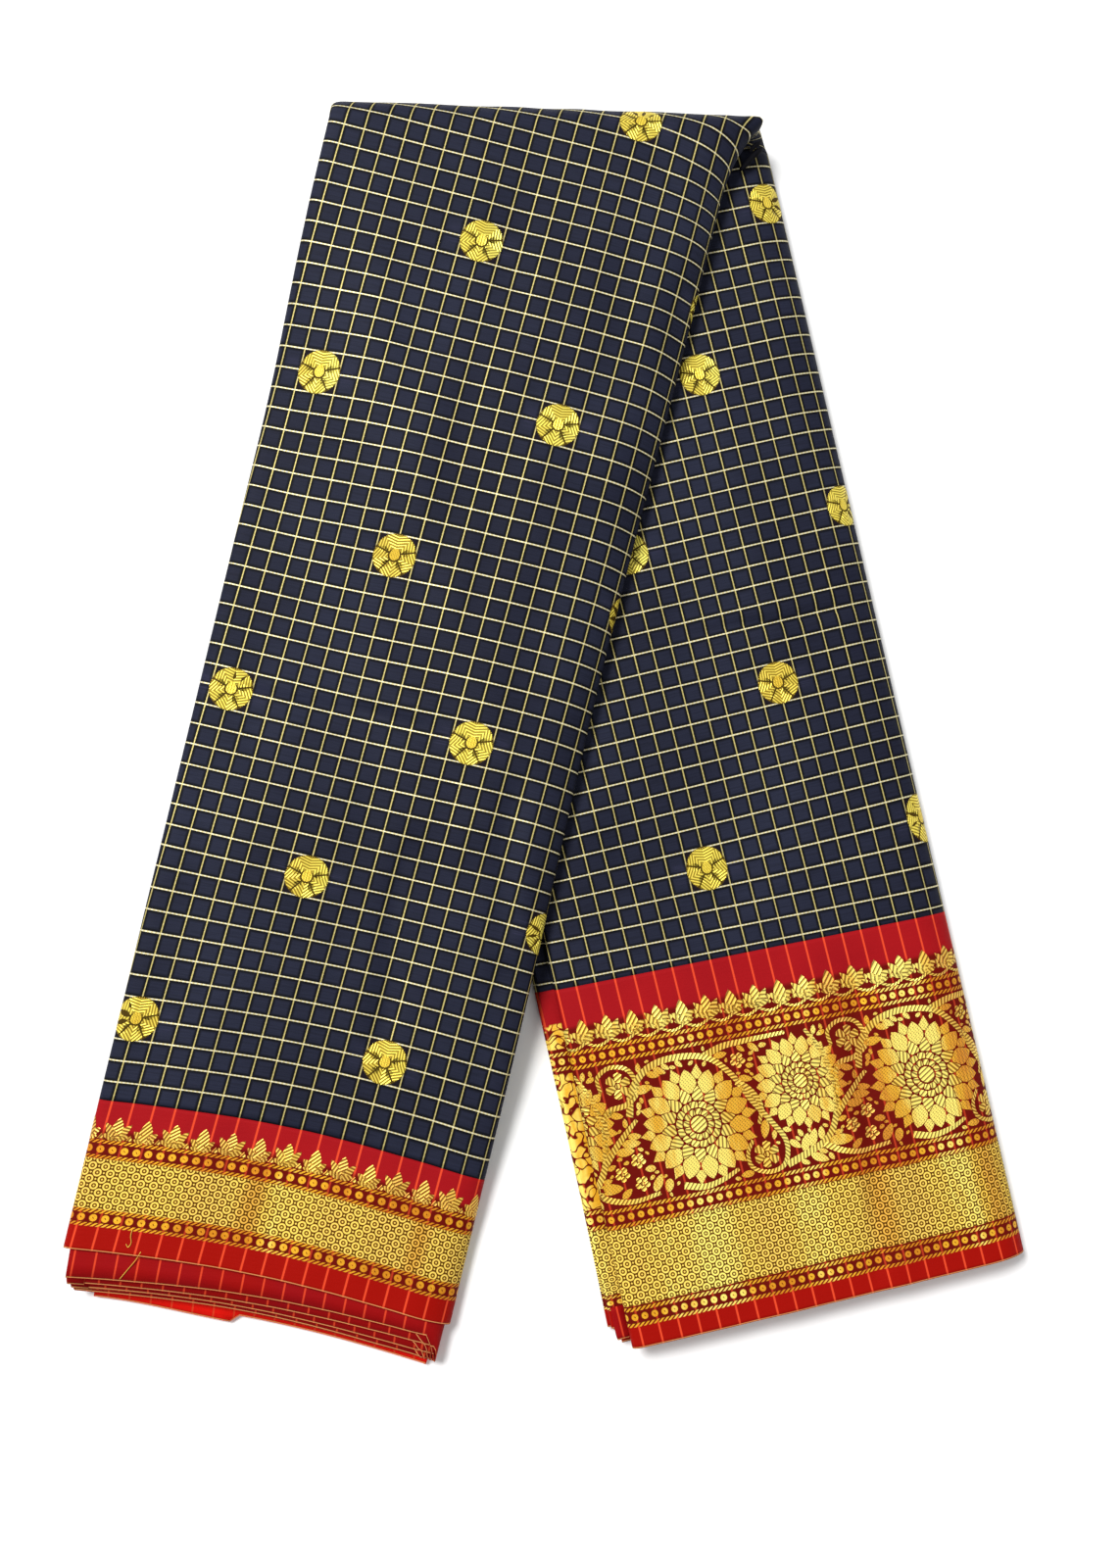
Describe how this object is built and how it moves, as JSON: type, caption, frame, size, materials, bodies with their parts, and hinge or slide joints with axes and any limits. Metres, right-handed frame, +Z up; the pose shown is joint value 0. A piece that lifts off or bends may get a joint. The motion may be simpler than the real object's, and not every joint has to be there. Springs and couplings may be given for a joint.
{
  "type": "folded saree",
  "caption": "Long checked silk drape cloth with round woven flowers and patterned borders, folded into a flat strip and once more across its middle.",
  "frame": {"origin": "middle of the outline seen from above, on the surface that the cloth lies on", "axes": "+Y towards the fold across the middle of the pack, which both legs run down from; +Z up, out of the surface; +X to the right, towards the back leg's hem"},
  "size_m": [0.4488, 0.5948, 0.0331],
  "materials": {
    "navy_silk": "smooth navy silk with a fine grid of gold thread and scattered round gold flowers, soft satin sheen",
    "red_border": "red silk woven with gold metallic thread in bands of vines, rows of dots and rings, bright satin sheen"
  },
  "bodies": {
    "root": {"front_field": "navy_silk", "front_layers": "navy_silk", "front_border": "red_border", "front_hem_layers": "red_border", "back_field": "navy_silk", "back_layers": "navy_silk", "back_border": "red_border", "back_hem_layers": "red_border"}
  },
  "joints": []
}
